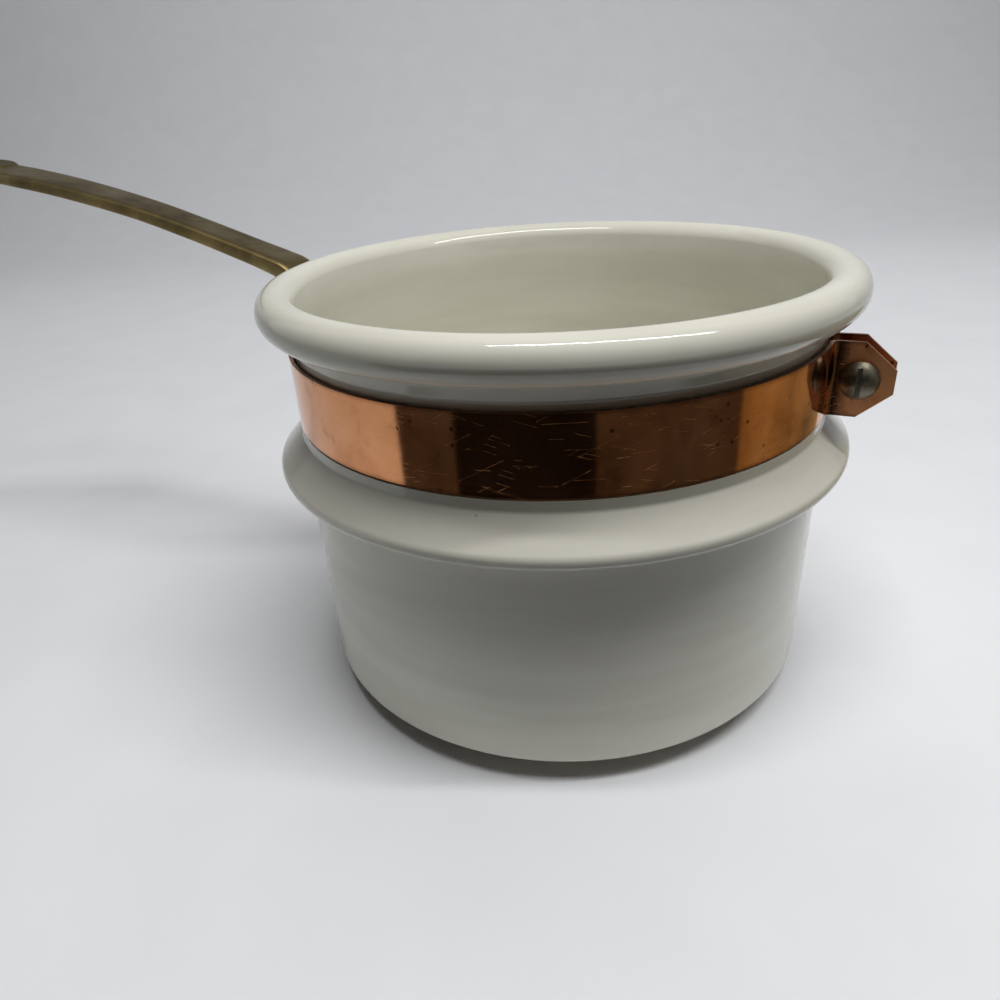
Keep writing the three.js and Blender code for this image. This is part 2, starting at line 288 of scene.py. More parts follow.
# Each rivet's place: how far from the handle's middle line, and its height.
RIVETS = {
    "foot_rivet_front": (14.7 * MM, STRAP_MIDDLE + 3.1 * MM),
    "foot_rivet_back": (-14.7 * MM, STRAP_MIDDLE + 3.1 * MM),
    "foot_rivet_low": (0.0, STRAP_MIDDLE - 4.5 * MM),
}
RIVET_RADIUS = 2 * MM
RIVET_CUTTER_LENGTH = 16 * MM
ALONG_Y = Matrix.Rotation(math.pi / 2, 4, "X")


def combined(first, second, operation):
    """A bmesh of two bmeshes joined, cut or crossed by the exact solver. Both are used up."""
    pieces = []
    for bm in (first, second):
        mesh = bpy.data.meshes.new("solid")
        bm.to_mesh(mesh)
        bm.free()
        piece = bpy.data.objects.new("solid", mesh)
        bpy.context.scene.collection.objects.link(piece)
        pieces.append(piece)
    cut = pieces[0].modifiers.new("cut", "BOOLEAN")
    cut.operation = operation
    cut.solver = "EXACT"
    cut.use_self = True
    cut.object = pieces[1]
    result = bmesh.new()
    result.from_object(pieces[0], bpy.context.evaluated_depsgraph_get())
    for piece in pieces:
        bpy.data.objects.remove(piece)
    return result


def fresh_verts(made):
    """The vertices that an extrusion made."""
    return [v for v in made["geom"] if isinstance(v, bmesh.types.BMVert)]


def prism(outline, height):
    """A bmesh of a closed outline raised by a vector."""
    bm = bmesh.new()
    face = bm.faces.new([bm.verts.new(p) for p in outline])
    raised = bmesh.ops.extrude_face_region(bm, geom=[face])
    bmesh.ops.translate(bm, verts=fresh_verts(raised), vec=height)
    bmesh.ops.recalc_face_normals(bm, faces=bm.faces)
    return bm


def rod(radius, length, sides, turn):
    """A bmesh of a round bar about the origin, turned from Z by a matrix."""
    bm = bmesh.new()
    bmesh.ops.create_cone(
        bm, cap_ends=True, segments=sides, radius1=radius, radius2=radius, depth=length, matrix=turn
    )
    return bm


def strap_outline():
    """The strap from above: round the neck, out through two bends and along both ears."""

    def flat(points):
        return [Vector((p.x, p.z, 0)) for p in points]

    bend_y = EAR_FACE + EAR_BEND
    bend_x = math.sqrt((STRAP_OUTER + EAR_BEND) ** 2 - bend_y**2)
    turn = math.degrees(math.atan2(bend_y, bend_x))
    inside = EAR_BEND + STRAP_THICKNESS
    return [
        Vector((EAR_TIP, EAR_FACE, 0)),
        *flat(arc(bend_x, bend_y, EAR_BEND, -90, turn - 180, 10)),
        *flat(arc(0, 0, STRAP_OUTER, turn, 360 - turn, 240))[1:-1],
        *flat(arc(bend_x, -bend_y, EAR_BEND, 180 - turn, 90, 10)),
        Vector((EAR_TIP, -EAR_FACE, 0)),
        Vector((EAR_TIP, -EAR_GAP / 2, 0)),
        *flat(arc(bend_x, -bend_y, inside, 90, 180 - turn, 10)),
        *flat(arc(0, 0, STRAP_INNER, 360 - turn, turn, 240))[1:-1],
        *flat(arc(bend_x, bend_y, inside, turn - 180, -90, 10)),
        Vector((EAR_TIP, EAR_GAP / 2, 0)),
    ]


def ear_clip(edge, inward):
    """A wedge across both ears that takes one corner off each."""
    beyond = 1 * MM
    rise = beyond * EAR_CLIP_DROP / EAR_CLIP_LENGTH
    start = EAR_TIP - EAR_CLIP_LENGTH - beyond
    half = EAR_FACE + beyond
    corners = [
        Vector((start, -half, edge - inward * rise)),
        Vector((EAR_TIP + beyond, -half, edge - inward * rise)),
        Vector((EAR_TIP + beyond, -half, edge + inward * (EAR_CLIP_DROP + rise))),
    ]
    return prism(corners, (0, 2 * half, 0))


def rivet_turn(across, height):
    """The matrix that lays a rivet along its hole, its +Z pointing out of the strap."""
    swing = math.pi - math.asin(across / STRAP_OUTER)
    return (
        Matrix.Translation((0, 0, height))
        @ Matrix.Rotation(-swing, 4, "Z")
        @ Matrix.Translation((STRAP_INNER, 0, 0))
        @ Matrix.Rotation(math.pi / 2, 4, "Y")
    )


def rivet_cutter(across, height):
    """A rod as wide as a rivet's hole, laid along it."""
    return rod(RIVET_RADIUS + CLEARANCE, RIVET_CUTTER_LENGTH, 32, rivet_turn(across, height))


def copper_material():
    """Polished copper: a warm mirror with lines round the strap, scratches, brown stains and dark pits.

    The ears are duller from being handled. The lines are coarser than real polishing marks, so they show.
    """
    cloud_size = 18.2 * MM
    stain_size = 10.5 * MM
    edge_wander = 1.6 * MM
    edge_start = STRAP_HEIGHT / 2 - 0.2 * MM
    edge_full = STRAP_HEIGHT / 2 + 0.9 * MM
    handled_start = STRAP_OUTER + 1 * MM
    handled_full = STRAP_OUTER + 5 * MM
    pit_spacing = 3.03 * MM
    flock_size = 26.3 * MM
    line_length = 25 * MM
    line_spacing = 0.357 * MM
    scratch_length = 14.3 * MM
    scratch_spacing = 0.476 * MM
    scratch_leans = (0.0, 0.5, -0.3)
    material, tree, output, place = new_material("polished copper")
    clouds = add(tree, "ShaderNodeTexNoise", Vector=place, Scale=1 / cloud_size, Detail=4.0, Roughness=0.6)
    tone = add(
        tree,
        "ShaderNodeValToRGB",
        Fac=clouds.outputs["Fac"],
        stops=[(0.3, colour("#bd7e52")), (0.5, colour("#d69566")), (0.72, colour("#dda074"))],
    )
    blot = add(tree, "ShaderNodeTexNoise", Vector=place, Scale=1 / stain_size, Detail=5.0, Roughness=0.65)
    stain = add(tree, "ShaderNodeMapRange", Value=blot.outputs["Fac"], i1=0.56, i2=0.72, i3=0.0, i4=0.55)
    axes = add(tree, "ShaderNodeSeparateXYZ", Vector=place)
    above = add(tree, "ShaderNodeMath", operation="SUBTRACT", i0=axes.outputs["Z"], i1=STRAP_MIDDLE)
    from_middle = add(tree, "ShaderNodeMath", operation="ABSOLUTE", i0=above.outputs[0])
    ragged = add(
        tree,
        "ShaderNodeMath",
        operation="MULTIPLY_ADD",
        i0=blot.outputs["Fac"],
        i1=edge_wander,
        i2=from_middle.outputs[0],
    )
    edge = add(
        tree, "ShaderNodeMapRange", Value=ragged.outputs[0], i1=edge_start, i2=edge_full, i3=0.0, i4=0.7
    )
    brown = add(tree, "ShaderNodeMath", operation="MAXIMUM", i0=stain.outputs[0], i1=edge.outputs[0])
    stained = add(
        tree,
        "ShaderNodeMix",
        data_type="RGBA",
        i0=brown.outputs[0],
        i6=tone.outputs["Color"],
        i7=colour("#7d4a2a"),
    )
    pits = add(tree, "ShaderNodeTexVoronoi", Vector=place, Scale=1 / pit_spacing)
    dots = add(tree, "ShaderNodeMapRange", Value=pits.outputs["Distance"], i1=0.08, i2=0.2, i3=1.0, i4=0.0)
    flock = add(tree, "ShaderNodeTexNoise", Vector=place, Scale=1 / flock_size, Detail=2.0)
    rarity = add(tree, "ShaderNodeMapRange", Value=flock.outputs["Fac"], i1=0.38, i2=0.64, i3=0.93, i4=0.3)
    chance = add(
        tree, "ShaderNodeMath", operation="GREATER_THAN", i0=pits.outputs["Color"], i1=rarity.outputs[0]
    )
    pit = add(tree, "ShaderNodeMath", operation="MULTIPLY", i0=dots.outputs[0], i1=chance.outputs[0])
    dark = add(tree, "ShaderNodeMath", operation="MULTIPLY", i0=pit.outputs[0], i1=0.8)
    base = add(
        tree,
        "ShaderNodeMix",
        data_type="RGBA",
        i0=dark.outputs[0],
        i6=stained.outputs[2],
        i7=colour("#2e1b10"),
    )
    spread = add(
        tree, "ShaderNodeMapping", Vector=place, Scale=(1 / line_length, 1 / line_length, 1 / line_spacing)
    )
    lines = add(tree, "ShaderNodeTexNoise", Vector=spread.outputs[0], Scale=1.0, Detail=6.0, Roughness=0.7)
    rough = add(tree, "ShaderNodeMapRange", Value=lines.outputs["Fac"], i1=0.35, i2=0.7, i3=0.06, i4=0.13)
    handled = add(
        tree,
        "ShaderNodeMapRange",
        Value=axes.outputs["X"],
        i1=handled_start,
        i2=handled_full,
        i3=0.0,
        i4=0.3,
    )
    dull = add(tree, "ShaderNodeMath", operation="ADD", i0=rough.outputs[0], i1=handled.outputs[0])
    for lean in scratch_leans:
        leant = add(tree, "ShaderNodeMapping", Vector=place, Rotation=(0.0, lean, 0.0))
        drawn = add(
            tree,
            "ShaderNodeMapping",
            Vector=leant.outputs[0],
            Scale=(1 / scratch_length, 1 / scratch_length, 1 / scratch_spacing),
        )
        wander = add(tree, "ShaderNodeTexNoise", Vector=drawn.outputs[0], Scale=1.0, Detail=1.0)
        scratch = add(
            tree,
            "ShaderNodeValToRGB",
            Fac=wander.outputs["Fac"],
            stops=[(0.7, (0, 0, 0, 1)), (0.72, (1, 1, 1, 1)), (0.74, (0, 0, 0, 1))],
        )
        dull = add(
            tree,
            "ShaderNodeMath",
            operation="MULTIPLY_ADD",
            i0=scratch.outputs["Color"],
            i1=0.28,
            i2=dull.outputs[0],
        )
    relief = add(tree, "ShaderNodeMath", operation="SUBTRACT", i0=lines.outputs["Fac"], i1=pit.outputs[0])
    bump = add(tree, "ShaderNodeBump", Strength=0.12, Distance=0.04 * MM, Height=relief.outputs[0])
    shader = add(
        tree,
        "ShaderNodeBsdfPrincipled",
        Base_Color=base.outputs[2],
        Metallic=1.0,
        Roughness=dull.outputs[0],
        Normal=bump.outputs["Normal"],
    )
    tree.links.new(shader.outputs[0], output.inputs[0])
    return material


strap_bm = prism([p + Vector((0, 0, STRAP_BOTTOM)) for p in strap_outline()], (0, 0, STRAP_HEIGHT))
for edge, inward in ((STRAP_BOTTOM, 1), (STRAP_BOTTOM + STRAP_HEIGHT, -1)):
    strap_bm = combined(strap_bm, ear_clip(edge, inward), "DIFFERENCE")
screw_hole = Matrix.Translation((SCREW_X, 0, STRAP_MIDDLE)) @ ALONG_Y
strap_bm = combined(strap_bm, rod(SCREW_RADIUS + CLEARANCE, 4 * EAR_FACE, 48, screw_hole), "DIFFERENCE")
for across, height in RIVETS.values():
    strap_bm = combined(strap_bm, rivet_cutter(across, height), "DIFFERENCE")
copper = copper_material()
strap = finished("clamp_band_copper", strap_bm, [copper], 30)
eased = strap.modifiers.new("eased edges", "BEVEL")
eased.width = 0.18 * MM
eased.segments = 2
eased.limit_method = "ANGLE"
eased.angle_limit = math.radians(50)
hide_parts("clamp_band")
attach(strap, "pot_and_handle")


# Clamp screw
# A round-head steel screw, dulled by use, put through both ears. Its head is turned, slotted for a
# screwdriver, and its shank carries a rolled thread.
SCREW_HEAD_HEIGHT = 3.4 * MM
HEAD_EDGE_INSET = 0.2 * MM
HEAD_EDGE_HEIGHT = 0.25 * MM
SLOT_WIDTH = 1.2 * MM
SLOT_DEPTH = 1.6 * MM
NUT_THICKNESS = 4 * MM
SCREW_PAST_NUT = 5.2 * MM
SCREW_LENGTH = 2 * EAR_FACE + 2 * CLEARANCE + NUT_THICKNESS + SCREW_PAST_NUT
SCREW_POINT_INSET = 0.4 * MM
SCREW_POINT_LENGTH = 0.5 * MM
PLAIN_SHANK = 4 * MM
SHANK_TAPER = 0.3 * MM
THREAD_PITCH = 0.8 * MM
THREAD_DEPTH = 0.4 * MM
THREAD_SUNK = 0.05 * MM
THREAD_HALF_WIDTH = 0.46 * THREAD_PITCH
THREAD_HALF_CREST = 0.06 * THREAD_PITCH
THREAD_START_GAP = 0.4 * MM
THREAD_START = PLAIN_SHANK + THREAD_START_GAP
THREAD_END_GAP = 1.2 * MM
THREAD_LENGTH = SCREW_LENGTH - PLAIN_SHANK - THREAD_END_GAP
THREAD_STEPS = 40


def dome(radius, height, base, steps):
    """The profile of a domed head, from its edge up to its crown."""
    ball = (radius**2 + height**2) / (2 * height)
    centre = base + height - ball
    edge = math.degrees(math.asin((base - centre) / ball))
    return arc(0, centre, ball, edge, 90, steps)


def steel_material():
    """Dull steel: grey with a warm film of tarnish, patchy in its shine and darker where grease was."""
    film_size = 2.38 * MM
    material, tree, output, place = new_material("dulled steel")
    film = add(tree, "ShaderNodeTexNoise", Vector=place, Scale=1 / film_size, Detail=5.0, Roughness=0.6)
    tone = add(
        tree,
        "ShaderNodeValToRGB",
        Fac=film.outputs["Fac"],
        stops=[(0.3, colour("#4c473b")), (0.55, colour("#736e60")), (0.8, colour("#888374"))],
    )
    rough = add(tree, "ShaderNodeMapRange", Value=film.outputs["Fac"], i1=0.3, i2=0.75, i3=0.52, i4=0.34)
    bump = add(tree, "ShaderNodeBump", Strength=0.35, Distance=0.08 * MM, Height=film.outputs["Fac"])
    shader = add(
        tree,
        "ShaderNodeBsdfPrincipled",
        Base_Color=tone.outputs["Color"],
        Metallic=1.0,
        Roughness=rough.outputs[0],
        Normal=bump.outputs["Normal"],
    )
    tree.links.new(shader.outputs[0], output.inputs[0])
    return material


def thread():
    """A bmesh of the thread's ridge, which climbs -Z: one V section swept round the axis."""
    bm = bmesh.new()
    root = SCREW_RADIUS - THREAD_DEPTH - THREAD_SUNK
    section = [
        Vector((root, 0, -THREAD_HALF_WIDTH)),
        Vector((SCREW_RADIUS, 0, -THREAD_HALF_CREST)),
        Vector((SCREW_RADIUS, 0, THREAD_HALF_CREST)),
        Vector((root, 0, THREAD_HALF_WIDTH)),
    ]
    face = bm.faces.new([bm.verts.new(p) for p in section])
    turns = THREAD_LENGTH / THREAD_PITCH
    bmesh.ops.spin(
        bm,
        geom=[face],
        cent=(0, 0, 0),
        axis=(0, 0, 1),
        dvec=(0, 0, -THREAD_PITCH / THREAD_STEPS),
        angle=math.tau * turns,
        steps=int(THREAD_STEPS * turns),
    )
    bmesh.ops.translate(bm, verts=bm.verts, vec=(0, 0, -THREAD_START))
    bmesh.ops.recalc_face_normals(bm, faces=bm.faces)
    return bm


def merged(first, second):
    """One bmesh with the faces of both."""
    mesh = bpy.data.meshes.new("merged")
    second.to_mesh(mesh)
    second.free()
    first.from_mesh(mesh)
    bpy.data.meshes.remove(mesh)
    return first


steel = steel_material()
core = SCREW_RADIUS - THREAD_DEPTH
screw_bm = turned(
    [
        Vector((0, 0, -SCREW_LENGTH)),
        Vector((core - SCREW_POINT_INSET, 0, -SCREW_LENGTH)),
        Vector((core, 0, SCREW_POINT_LENGTH - SCREW_LENGTH)),
        Vector((core, 0, -PLAIN_SHANK - SHANK_TAPER)),
        Vector((SCREW_RADIUS, 0, -PLAIN_SHANK)),
        Vector((SCREW_RADIUS, 0, 0)),
        Vector((SCREW_HEAD_RADIUS - HEAD_EDGE_INSET, 0, 0)),
        Vector((SCREW_HEAD_RADIUS, 0, HEAD_EDGE_HEIGHT)),
        *dome(SCREW_HEAD_RADIUS, SCREW_HEAD_HEIGHT, 0, 16)[2:],
    ],
    64,
)
slot_bm = bmesh.new()
bmesh.ops.create_cube(slot_bm, size=1.0)
bmesh.ops.scale(slot_bm, verts=slot_bm.verts, vec=(SLOT_WIDTH, 3 * SCREW_HEAD_RADIUS, 2 * SLOT_DEPTH))
bmesh.ops.translate(slot_bm, verts=slot_bm.verts, vec=(0, 0, SCREW_HEAD_HEIGHT))
screw_bm = combined(screw_bm, slot_bm, "DIFFERENCE")
screw_bm = merged(screw_bm, thread())
screw_place = Matrix.Translation((SCREW_X, -EAR_FACE - CLEARANCE, STRAP_MIDDLE)) @ ALONG_Y
bmesh.ops.transform(screw_bm, matrix=screw_place, verts=screw_bm.verts)
screw = finished("clamp_screw_steel", screw_bm, [steel], 32)
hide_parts("clamp_screw")
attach(screw, "clamp_screw")


# Clamp nut
# A small hexagon nut of the same dull steel, held on the rear ear, its corners turned off on both faces.
# The screw is driven into it and draws the ears together.
NUT_FLATS = 8 * MM
NUT_CORNER = NUT_FLATS / 2 / math.cos(math.pi / 6)
NUT_BEVEL = 0.8 * (NUT_CORNER - NUT_FLATS / 2)
PAST_CORNER = 0.02 * MM

half_nut = NUT_THICKNESS / 2
hexagon = rod(NUT_CORNER, NUT_THICKNESS, 6, Matrix.Rotation(math.pi / 6, 4, "Z"))
crown = turned(
    [
        Vector((0, 0, -half_nut)),
        Vector((NUT_FLATS / 2, 0, -half_nut)),
        Vector((NUT_CORNER + PAST_CORNER, 0, NUT_BEVEL - half_nut)),
        Vector((NUT_CORNER + PAST_CORNER, 0, half_nut - NUT_BEVEL)),
        Vector((NUT_FLATS / 2, 0, half_nut)),
        Vector((0, 0, half_nut)),
    ],
    96,
)
nut_bm = combined(hexagon, crown, "INTERSECT")
nut_bm = combined(nut_bm, rod(SCREW_RADIUS + CLEARANCE, 3 * NUT_THICKNESS, 48, Matrix()), "DIFFERENCE")
nut_place = Matrix.Translation((SCREW_X, EAR_FACE + CLEARANCE + half_nut, STRAP_MIDDLE)) @ ALONG_Y
bmesh.ops.transform(nut_bm, matrix=nut_place, verts=nut_bm.verts)
nut = finished("clamp_nut_steel", nut_bm, [steel], 25)
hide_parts("clamp_nut")
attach(nut, "pot_and_handle")


# Handle
# A brass casting: a saddle foot riveted to the strap, a bar that lifts over the rim and a flat eye to
# hang it by. The cast skin is filed smooth and has browned with handling.
FOOT_INNER = STRAP_OUTER + CLEARANCE
FOOT_THICKNESS = 3 * MM
FOOT_OUTER = FOOT_INNER + FOOT_THICKNESS
FOOT_LOBE = 4.7 * MM
EYE_RADIUS = 11 * MM
EYE_HOLE = 5 * MM
EYE_THICKNESS = 5.6 * MM
EYE_EASE = 1.5 * MM
EYE_HOLE_EASE = 0.6 * MM
# The bar is cut wider than the eye's hole, so that its end lies inside the eye.
BAR_CUT = EYE_HOLE + 1 * MM
SECTION_SIDES = 32
SECTION_ROUNDNESS = 0.4
STATIONS_PER_SPAN = 8
# Each place along the bar: distance from the axis, height, width and thickness, in millimetres.
BAR_PLACES = [
    (75.3, 89.2, 19, 8.4),
    (78, 89.2, 17.2, 8.4),
    (81.8, 92.7, 16, 7.6),
    (84.6, 99.7, 15, 6.8),
    (89, 106.1, 14.2, 5.9),
    (96, 109.1, 13.8, 5.2),
    (108, 112.9, 13.4, 4.8),
    (128, 119, 13.6, 4.6),
    (150, 125.1, 14.6, 4.4),
    (180, 131.7, 16.6, 4.4),
    (208, 136.5, 18.6, 4.4),
    (226, 138.9, 19, 4.4),
]


def brass_material():
    """Aged brass: olive-brown, satin where it is worn paler, with dark pores and a fine cast grain.

    The grain is coarser than a real casting's, so that it shows.
    """
    patina_size = 14.3 * MM
    grain_size = 1.11 * MM
    pore_spacing = 2.083 * MM
    material, tree, output, place = new_material("aged brass")
    patina = add(tree, "ShaderNodeTexNoise", Vector=place, Scale=1 / patina_size, Detail=6.0, Roughness=0.62)
    tone = add(
        tree,
        "ShaderNodeValToRGB",
        Fac=patina.outputs["Fac"],
        stops=[(0.3, colour("#66583c")), (0.52, colour("#897850")), (0.75, colour("#a08f66"))],
    )
    grain = add(tree, "ShaderNodeTexNoise", Vector=place, Scale=1 / grain_size, Detail=3.0)
    pores = add(tree, "ShaderNodeTexVoronoi", Vector=place, Scale=1 / pore_spacing)
    dots = add(tree, "ShaderNodeMapRange", Value=pores.outputs["Distance"], i1=0.06, i2=0.16, i3=0.5, i4=0.0)
    chance = add(tree, "ShaderNodeMath", operation="GREATER_THAN", i0=pores.outputs["Color"], i1=0.75)
    pore = add(tree, "ShaderNodeMath", operation="MULTIPLY", i0=dots.outputs[0], i1=chance.outputs[0])
    base = add(
        tree,
        "ShaderNodeMix",
        data_type="RGBA",
        i0=pore.outputs[0],
        i6=tone.outputs["Color"],
        i7=colour("#2e2617"),
    )
    rough = add(tree, "ShaderNodeMapRange", Value=patina.outputs["Fac"], i1=0.3, i2=0.75, i3=0.5, i4=0.34)
    bump = add(tree, "ShaderNodeBump", Strength=0.2, Distance=0.08 * MM, Height=grain.outputs["Fac"])
    shader = add(
        tree,
        "ShaderNodeBsdfPrincipled",
        Base_Color=base.outputs[2],
        Metallic=1.0,
        Roughness=rough.outputs[0],
        Normal=bump.outputs["Normal"],
    )
    tree.links.new(shader.outputs[0], output.inputs[0])
    return material


def along_bar(t):
    """The bar's place and slope at t spans from its root, on a smooth curve through its places."""
    span = min(int(t), len(BAR_PLACES) - 2)
    u = t - span
    last = len(BAR_PLACES) - 1
    a, b, c, d = [Vector(BAR_PLACES[min(max(i, 0), last)]) * MM for i in range(span - 1, span + 3)]
    place = 0.5 * (2 * b + (c - a) * u + (2 * a - 5 * b + 4 * c - d) * u**2 + (3 * (b - c) + d - a) * u**3)
    slope = 0.5 * ((c - a) + 2 * (2 * a - 5 * b + 4 * c - d) * u + 3 * (3 * (b - c) + d - a) * u**2)
    return place, slope


def bar_station(t):
    """The matrix that lays a unit ring across the bar, and the bar's width and thickness there."""
    place, slope = along_bar(t)
    x, z, width, thickness = place
    forward = Vector((-slope[0], 0, slope[1])).normalized()
    across = Vector((0, 1, 0))
    lift = forward.cross(across)
    turn = Matrix((across, lift, forward)).transposed().to_4x4()
    return Matrix.Translation((-x, 0, z)) @ turn, width, thickness


def bar_ring(t):
    """The points of the bar's section at t: a rectangle with full round edges."""

    def swell(v):
        return math.copysign(abs(v) ** SECTION_ROUNDNESS, v) / 2

    station, width, thickness = bar_station(t)
    angles = [math.tau * i / SECTION_SIDES for i in range(SECTION_SIDES)]
    return [
        station @ Vector((width * swell(math.cos(a)), thickness * swell(math.sin(a)), 0)) for a in angles
    ]


def bar_bmesh():
    """The bar: rings along the curve bridged one to the next, with flat ends."""
    bm = bmesh.new()
    spans = len(BAR_PLACES) - 1
    previous = None
    for i in range(spans * STATIONS_PER_SPAN + 1):
        ring = [bm.verts.new(p) for p in bar_ring(i / STATIONS_PER_SPAN)]
        edges = [bm.edges.new((ring[k - 1], ring[k])) for k in range(SECTION_SIDES)]
        if previous:
            bmesh.ops.bridge_loops(bm, edges=previous + edges)
        previous = edges
    bmesh.ops.holes_fill(bm, edges=[e for e in bm.edges if e.is_boundary])
    bmesh.ops.recalc_face_normals(bm, faces=bm.faces)
    return bm


def foot_bmesh():
    """The saddle: part of a thick ring, cut to an outline that is round about its three rivets."""
    section = [
        Vector((FOOT_INNER, 0, STRAP_BOTTOM)),
        Vector((FOOT_OUTER, 0, STRAP_BOTTOM)),
        Vector((FOOT_OUTER, 0, STRAP_BOTTOM + STRAP_HEIGHT)),
        Vector((FOOT_INNER, 0, STRAP_BOTTOM + STRAP_HEIGHT)),
        Vector((FOOT_INNER, 0, STRAP_BOTTOM)),
    ]
    ring = turned(section, POT_STEPS)
    lobes = [Vector((-across, 0, height)) for across, height in RIVETS.values()]
    outline = []
    for i, lobe in enumerate(lobes):
        before, after = lobes[i - 1], lobes[(i + 1) % 3]
        start = math.degrees(math.atan2(lobe.z - before.z, lobe.x - before.x)) + 90
        end = math.degrees(math.atan2(after.z - lobe.z, after.x - lobe.x)) + 90
        while end > start:
            end -= 360
        outline += arc(lobe.x, lobe.z, FOOT_LOBE, start, end, 16)
    plate = prism([Vector((0, -p.x, p.z)) for p in outline], (-2 * FOOT_OUTER, 0, 0))
    return combined(ring, plate, "INTERSECT")


def eye_bmesh(place):
    """The round end: a thick ring with eased edges, laid across the bar's end."""
    half = EYE_THICKNESS / 2
    profile = [
        *arc(EYE_HOLE + EYE_HOLE_EASE, EYE_HOLE_EASE - half, EYE_HOLE_EASE, -180, -90, 4),
        *arc(EYE_RADIUS - EYE_EASE, EYE_EASE - half, EYE_EASE, -90, 0, 6),
        *arc(EYE_RADIUS - EYE_EASE, half - EYE_EASE, EYE_EASE, 0, 90, 6),
        *arc(EYE_HOLE + EYE_HOLE_EASE, half - EYE_HOLE_EASE, EYE_HOLE_EASE, 90, 180, 4),
        Vector((EYE_HOLE, 0, EYE_HOLE_EASE - half)),
    ]
    bm = turned(profile, 96)
    bmesh.ops.transform(bm, matrix=place, verts=bm.verts)
    return bm


eye_place = bar_station(len(BAR_PLACES) - 1)[0] @ ALONG_Y
handle_bm = combined(bar_bmesh(), rod(BAR_CUT, 4 * EYE_THICKNESS, 64, eye_place), "DIFFERENCE")
handle_bm = combined(handle_bm, foot_bmesh(), "UNION")
handle_bm = combined(handle_bm, eye_bmesh(eye_place), "UNION")
for across, height in RIVETS.values():
    handle_bm = combined(handle_bm, rivet_cutter(across, height), "DIFFERENCE")
handle = finished("handle_brass", handle_bm, [brass_material()], 35)
cast_edges = handle.modifiers.new("cast edges", "BEVEL")
cast_edges.width = 0.5 * MM
cast_edges.segments = 3
cast_edges.limit_method = "ANGLE"
cast_edges.angle_limit = math.radians(35)
flat_faces = handle.modifiers.new("flat faces", "WEIGHTED_NORMAL")
flat_faces.keep_sharp = True
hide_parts("handle")
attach(handle, "pot_and_handle")


# Foot rivets
# Three copper rivets hold the foot to the strap. Each is headed into a dome outside and its tail is
# spread flush with the strap's inside, so that nothing rubs the glaze.
RIVET_HEAD = 3.2 * MM
RIVET_HEAD_HEIGHT = 1.9 * MM
RIVET_FLARE = 0.5 * MM
RIVET_FLARE_DEPTH = 0.6 * MM

head_base = FOOT_OUTER + CLEARANCE - STRAP_INNER
for name, (across, height) in RIVETS.items():
    rivet_bm = turned(
        [
            Vector((0, 0, 0)),
            Vector((RIVET_RADIUS + RIVET_FLARE, 0, 0)),
            Vector((RIVET_RADIUS, 0, RIVET_FLARE_DEPTH)),
            Vector((RIVET_RADIUS, 0, head_base)),
            *dome(RIVET_HEAD, RIVET_HEAD_HEIGHT, head_base, 12),
        ],
        40,
    )
    bmesh.ops.transform(rivet_bm, matrix=rivet_turn(across, height), verts=rivet_bm.verts)
    rivet = finished(f"{name}_copper", rivet_bm, [copper], 35)
    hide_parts(name)
    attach(rivet, "pot_and_handle")


# Studio
# A white paper sheet that curves up into a backdrop, with the pot on a low dark block. A ceiling tube and
# soft lamps light it, and the strap mirrors four dim glowing cards round the front, a painted reflection of
# a dim room that only mirrors see. The whole set is turned about the pot to face the camera.
SET_TURN = Matrix.Rotation(math.radians(21.5), 4, "Z")
SWEEP_BACK = 0.75
SWEEP_RADIUS = 0.5
SWEEP_FRONT = -1.6
SWEEP_HALF_WIDTH = 1.8
SWEEP_TOP = 2.2
SHEET_END = -0.0975
SHEET_END_TURN = math.radians(34.3)
SHEET_FADE = 0.03
RISER_RADIUS = 60 * MM
RISER_HEIGHT = 6.5 * MM
CARD_FRONT = -1.5
CARD_HALF_WIDTH = 1.6
CARD_HEIGHT = 1.6
ROOM_RADIUS = 0.2
ROOM_HEIGHT = 0.075
# Four dim glowing cards round the front of the set, a painted reflection for the strap to mirror: from and
# to which angle in degrees about the pot, and the colour the card glows with.
ROOM_PANELS = [
    (-144, -123, "#474440"),
    (-123, -78, "#171514"),
    (-78, -28, "#45413b"),
    (-28, 24, "#93815a"),
]


